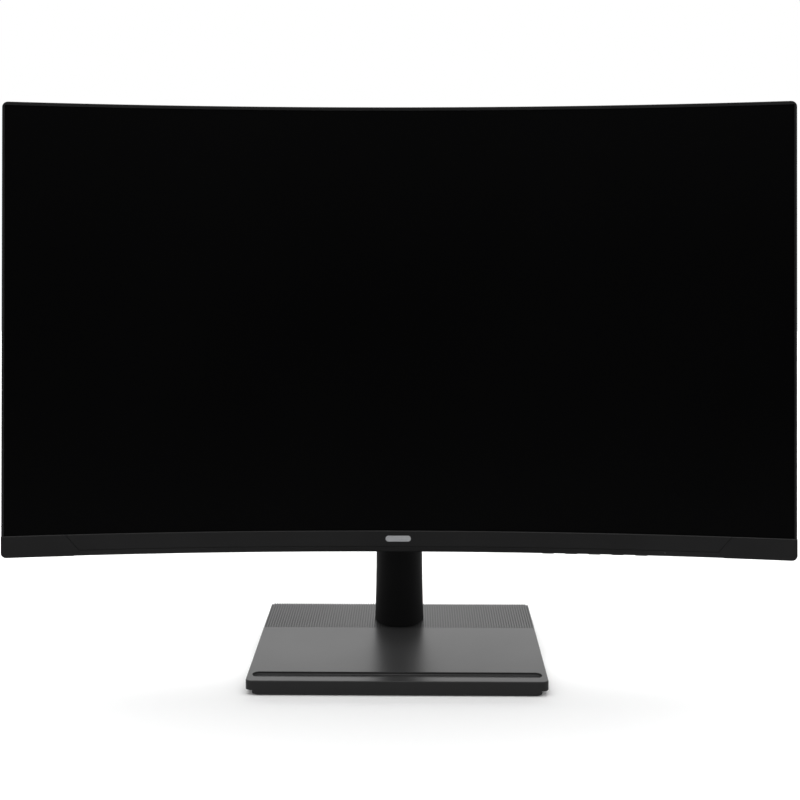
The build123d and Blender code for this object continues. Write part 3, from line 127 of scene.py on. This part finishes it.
# ------------------------------------------------------------------ materials
def moulded_plastic(name, colour, rough, grain=2600.0, grain_depth=0.02 * MM, specular=0.5):
    """Black moulded plastic with a fine spark-eroded grain and faint handling marks."""
    material, tree, shader = new_material(name)
    coordinates = object_coordinates(tree)
    fine = noise(tree, coordinates, grain, roughness=0.6)
    broad = noise(tree, coordinates, 14.0, detail=4.0, roughness=0.55)
    lighter = tuple(channel * 1.25 + 0.001 for channel in colour)
    mixed = two_tone(tree, spread(tree, broad, 0.0, 1.0), colour, lighter)
    tree.links.new(mixed, shader.inputs["Base Color"])
    tree.links.new(spread(tree, broad, rough - 0.06, rough + 0.06), shader.inputs["Roughness"])
    tree.links.new(bump(tree, fine, grain_depth), shader.inputs["Normal"])
    shader.inputs["Specular IOR Level"].default_value = specular
    return material


def anti_glare_glass(name):
    """The switched-off screen: near black behind a finely etched surface."""
    material, tree, shader = new_material(name)
    coordinates = object_coordinates(tree)
    fine = noise(tree, coordinates, 5200.0, detail=2.0)
    broad = noise(tree, coordinates, 5.0)
    clouding = spread(tree, broad, 0.0, 1.0)
    mixed = two_tone(tree, clouding, (0.0006, 0.0006, 0.0007), (0.0009, 0.0009, 0.0010))
    tree.links.new(mixed, shader.inputs["Base Color"])
    tree.links.new(spread(tree, broad, 0.26, 0.30), shader.inputs["Roughness"])
    tree.links.new(bump(tree, fine, 0.004 * MM), shader.inputs["Normal"])
    shader.inputs["Specular IOR Level"].default_value = 0.045
    return material


def sheet_metal(name, colour, rough, along=(1.0, 40.0, 1.0), cells=60.0):
    """Rolled or zinc-coated metal with fine streaks across the stretched axis."""
    material, tree, shader = new_material(name)
    streaks = noise(tree, object_coordinates(tree, along), cells, detail=4.0, roughness=0.6)
    clouds = noise(tree, object_coordinates(tree), 30.0)
    mixed = two_tone(tree, clouds, darkened(colour, 0.8), colour)
    tree.links.new(mixed, shader.inputs["Base Color"])
    tree.links.new(spread(tree, streaks, rough - 0.08, rough + 0.1), shader.inputs["Roughness"])
    tree.links.new(bump(tree, streaks, 0.02 * MM), shader.inputs["Normal"])
    shader.inputs["Metallic"].default_value = 1.0
    return material


def plain_film(name, colour, rough, clear=0.0):
    """Film, acrylic, resin or paper: an even colour with soft clouding."""
    material, tree, shader = new_material(name)
    clouds = noise(tree, object_coordinates(tree), 40.0)
    mixed = two_tone(tree, clouds, darkened(colour, 0.92), colour)
    tree.links.new(mixed, shader.inputs["Base Color"])
    tree.links.new(spread(tree, clouds, rough - 0.05, rough + 0.05), shader.inputs["Roughness"])
    shader.inputs["Transmission Weight"].default_value = clear
    return material


def circuit_board(name):
    """Green solder resist over a close brick pattern of lighter tracks."""
    material, tree, shader = new_material(name)
    coordinates = object_coordinates(tree)
    tracks = tree.nodes.new("ShaderNodeTexBrick")
    tracks.inputs["Scale"].default_value = 90.0
    tracks.inputs["Color1"].default_value = (0.012, 0.09, 0.03, 1.0)
    tracks.inputs["Color2"].default_value = (0.016, 0.12, 0.045, 1.0)
    tracks.inputs["Mortar"].default_value = (0.03, 0.2, 0.07, 1.0)
    tracks.inputs["Mortar Size"].default_value = 0.04
    tree.links.new(coordinates, tracks.inputs["Vector"])
    tree.links.new(tracks.outputs["Color"], shader.inputs["Base Color"])
    tree.links.new(bump(tree, tracks.outputs["Fac"], 0.05 * MM), shader.inputs["Normal"])
    shader.inputs["Roughness"].default_value = 0.32
    return material


def foot_rubber(name):
    """Soft matt rubber with a dusty grain."""
    material, tree, shader = new_material(name)
    coordinates = object_coordinates(tree)
    dust = noise(tree, coordinates, 180.0, detail=5.0, roughness=0.7)
    fine = noise(tree, coordinates, 1800.0, detail=2.0)
    mixed = two_tone(tree, dust, (0.012, 0.012, 0.012), (0.03, 0.03, 0.029))
    tree.links.new(mixed, shader.inputs["Base Color"])
    tree.links.new(bump(tree, fine, 0.04 * MM), shader.inputs["Normal"])
    shader.inputs["Roughness"].default_value = 0.85
    return material


def rib_groove_floors(tree, coordinates):
    """1 on the floors of the slab's rib grooves and 0 elsewhere; it places painted shade and a rougher
    finish there.
    """
    place = tree.nodes.new("ShaderNodeSeparateXYZ")
    tree.links.new(coordinates, place.inputs["Vector"])
    low = ramp(tree, place.outputs["Z"], SLAB_TOP - GROOVE_SHOULDER, SLAB_TOP - GROOVE_DEPTH)
    ribbed = ramp(tree, place.outputs["Y"], RIBS_FROM - RIBS_BLEND, RIBS_FROM)
    facing = tree.nodes.new("ShaderNodeSeparateXYZ")
    surface = tree.nodes.new("ShaderNodeTexCoord")
    tree.links.new(surface.outputs["Normal"], facing.inputs["Vector"])
    upward = ramp(tree, facing.outputs["Z"], 0.4, 0.8)
    return times(tree, times(tree, low, ribbed), upward)


def ribbed_base_plastic(name):
    """Satin slab plastic with faint smears; the floors of the grooves between its ribs are rougher and
    carry painted shade, a darker colour for the shade down in the grooves.
    """
    material, tree, shader = new_material(name)
    coordinates = object_coordinates(tree)
    fine = noise(tree, coordinates, 2400.0, roughness=0.6)
    broad = noise(tree, coordinates, 9.0, detail=4.0, roughness=0.6)
    smear = noise(tree, object_coordinates(tree, (1.0, 0.35, 1.0)), 24.0)
    groove_floor_shade_and_roughness = rib_groove_floors(tree, coordinates)
    # painted shade: the groove floors get the darker colour, standing in for the shade down in the
    # grooves
    mixed = two_tone(tree, groove_floor_shade_and_roughness, (0.0192, 0.0192, 0.0195), (0.0125, 0.0125, 0.0125))
    tree.links.new(mixed, shader.inputs["Base Color"])
    marks = tree.nodes.new("ShaderNodeMath")
    marks.operation = "MULTIPLY_ADD"
    marks.inputs[1].default_value = 0.05
    tree.links.new(smear, marks.inputs[0])
    tree.links.new(spread(tree, broad, 0.27, 0.32), marks.inputs[2])
    finish = tree.nodes.new("ShaderNodeMix")
    finish.inputs[3].default_value = 0.40
    tree.links.new(groove_floor_shade_and_roughness, finish.inputs[0])
    tree.links.new(marks.outputs[0], finish.inputs[2])
    tree.links.new(finish.outputs[0], shader.inputs["Roughness"])
    tree.links.new(bump(tree, fine, 0.012 * MM), shader.inputs["Normal"])
    shader.inputs["Specular IOR Level"].default_value = 0.265
    return material


finishes = {
    "front_plastic": moulded_plastic(
        "front_plastic", (0.0080, 0.0080, 0.0082), 0.42, grain=1900.0, specular=0.18
    ),
    "badge": sheet_metal("badge", (0.62, 0.63, 0.65), 0.34, along=(1.0, 1.0, 60.0), cells=90.0),
    "light_pipe": plain_film("light_pipe", (0.02, 0.02, 0.022), 0.2, clear=0.4),
    "key_plastic": moulded_plastic("key_plastic", (0.008, 0.008, 0.0085), 0.36),
    "circuit_board": circuit_board("circuit_board"),
    "screen_glass": anti_glare_glass("screen_glass"),
    "optical_film": plain_film("optical_film", (0.86, 0.87, 0.88), 0.5),
    "light_guide": plain_film("light_guide", (0.88, 0.92, 0.93), 0.12, clear=0.6),
    "reflector_film": plain_film("reflector_film", (0.93, 0.93, 0.93), 0.35),
    "inner_plastic": moulded_plastic("inner_plastic", (0.012, 0.012, 0.0125), 0.5),
    "steel_sheet": sheet_metal("steel_sheet", (0.62, 0.63, 0.64), 0.38),
    "diode": plain_film("diode", (0.9, 0.82, 0.35), 0.4),
    "heat_sink": sheet_metal("heat_sink", (0.78, 0.79, 0.8), 0.42, along=(40.0, 1.0, 1.0)),
    "port_shell": sheet_metal("port_shell", (0.72, 0.72, 0.73), 0.26),
    "contact_metal": sheet_metal("contact_metal", (0.83, 0.72, 0.42), 0.25),
    "flat_cable": plain_film("flat_cable", (0.8, 0.8, 0.78), 0.45),
    "screw_steel": sheet_metal("screw_steel", (0.5, 0.5, 0.52), 0.32),
    "cover_plastic": moulded_plastic(
        "cover_plastic", (0.010, 0.010, 0.0105), 0.52, grain=1300.0, grain_depth=0.05 * MM
    ),
    "washer": sheet_metal("washer", (0.42, 0.42, 0.43), 0.3),
    "neck_plastic": moulded_plastic("neck_plastic", (0.0060, 0.0060, 0.0061), 0.5, specular=0.04),
    "base_plastic": ribbed_base_plastic("base_plastic"),
    "rubber": foot_rubber("rubber"),
}

node_slot = {part["node"]: part["material_slot"] for part in frame["record"]["subparts"]}
for node_name, piece in nodes.items():
    for material_slot in piece.material_slots:
        material_slot.material = finishes[node_slot[node_name]]


# ------------------------------------------------------------------ studio
CAMERA_AT = Vector((13.5, -1003.6, 369.4)) * MM
CAMERA_DOWN = 4.76  # degrees
CAMERA_RIGHT = -0.7  # degrees
CAMERA_LENS = 57.5
CAMERA_SENSOR = 36.0
CAMERA_SHIFT = -0.126
FLOOR_HALF = 2.4  # metres
FLOOR_SEEN = (0.9, 0.9, 0.9)
FLOOR_MIRRORED = (0.42, 0.42, 0.42)
WHITE = (1.0, 1.0, 1.0, 1.0)
SUN_LEAN = -14.0  # degrees, towards the front
SUN_SPREAD = 70.0  # degrees
SUN_STRENGTH = 2.1
GLOW_OVERHEAD = 0.62
GLOW_LEVEL = 0.02

camera_data = bpy.data.cameras.new("camera")
camera_data.lens = CAMERA_LENS
camera_data.sensor_width = CAMERA_SENSOR
camera_data.shift_y = CAMERA_SHIFT
camera_data.clip_start = 10 * MM
camera = bpy.data.objects.new("camera", camera_data)
camera.location = CAMERA_AT
camera.rotation_euler = (math.radians(90 - CAMERA_DOWN), 0.0, math.radians(-CAMERA_RIGHT))
bpy.context.scene.collection.objects.link(camera)
bpy.context.scene.camera = camera


def pale_floor():
    """A plain pale floor, wide enough for every view and darker in glossy reflections."""
    mesh = bpy.data.meshes.new("floor")
    form = bmesh.new()
    bmesh.ops.create_grid(form, x_segments=2, y_segments=2, size=FLOOR_HALF)
    form.to_mesh(mesh)
    form.free()
    floor = bpy.data.objects.new("floor", mesh)
    bpy.context.scene.collection.objects.link(floor)
    material, tree, shader = new_material("floor")
    path = tree.nodes.new("ShaderNodeLightPath")
    pale = two_tone(tree, path.outputs["Is Glossy Ray"], FLOOR_SEEN, FLOOR_MIRRORED)
    tree.links.new(pale, shader.inputs["Base Color"])
    shader.inputs["Roughness"].default_value = 0.9
    shader.inputs["Specular IOR Level"].default_value = 0.0
    mesh.materials.append(material)


def soft_skylight():
    """Even light from overhead, from a wide disc in the sky."""
    data = bpy.data.lights.new("overhead", "SUN")
    data.angle = math.radians(SUN_SPREAD)
    data.energy = SUN_STRENGTH
    light = bpy.data.objects.new("overhead", data)
    light.rotation_euler = (math.radians(SUN_LEAN), 0.0, 0.0)
    bpy.context.scene.collection.objects.link(light)


def studio_world():
    """Pale surroundings: seen as white; as light, bright behind the object and above it, dim in front."""
    world = bpy.data.worlds.new("studio")
    world.use_nodes = True
    tree = world.node_tree
    tree.nodes.clear()
    output = tree.nodes.new("ShaderNodeOutputWorld")
    seen = tree.nodes.new("ShaderNodeBackground")
    lit = tree.nodes.new("ShaderNodeBackground")
    source = tree.nodes.new("ShaderNodeTexCoord")
    split = tree.nodes.new("ShaderNodeSeparateXYZ")
    tree.links.new(source.outputs["Generated"], split.inputs["Vector"])
    total = tree.nodes.new("ShaderNodeMath")
    total.operation = "ADD"
    behind = ramp(tree, split.outputs["Y"], -0.3, 0.5)
    above = ramp(tree, split.outputs["Z"], 0.0, 0.3, GLOW_LEVEL, GLOW_OVERHEAD)
    tree.links.new(behind, total.inputs[0])
    tree.links.new(above, total.inputs[1])
    tree.links.new(total.outputs[0], lit.inputs["Strength"])
    seen.inputs["Color"].default_value = WHITE
    lit.inputs["Color"].default_value = WHITE
    path = tree.nodes.new("ShaderNodeLightPath")
    choose = tree.nodes.new("ShaderNodeMixShader")
    tree.links.new(path.outputs["Is Camera Ray"], choose.inputs[0])
    tree.links.new(lit.outputs[0], choose.inputs[1])
    tree.links.new(seen.outputs[0], choose.inputs[2])
    tree.links.new(choose.outputs[0], output.inputs["Surface"])
    bpy.context.scene.world = world


pale_floor()
studio_world()
soft_skylight()
bpy.context.scene.view_settings.view_transform = "Standard"
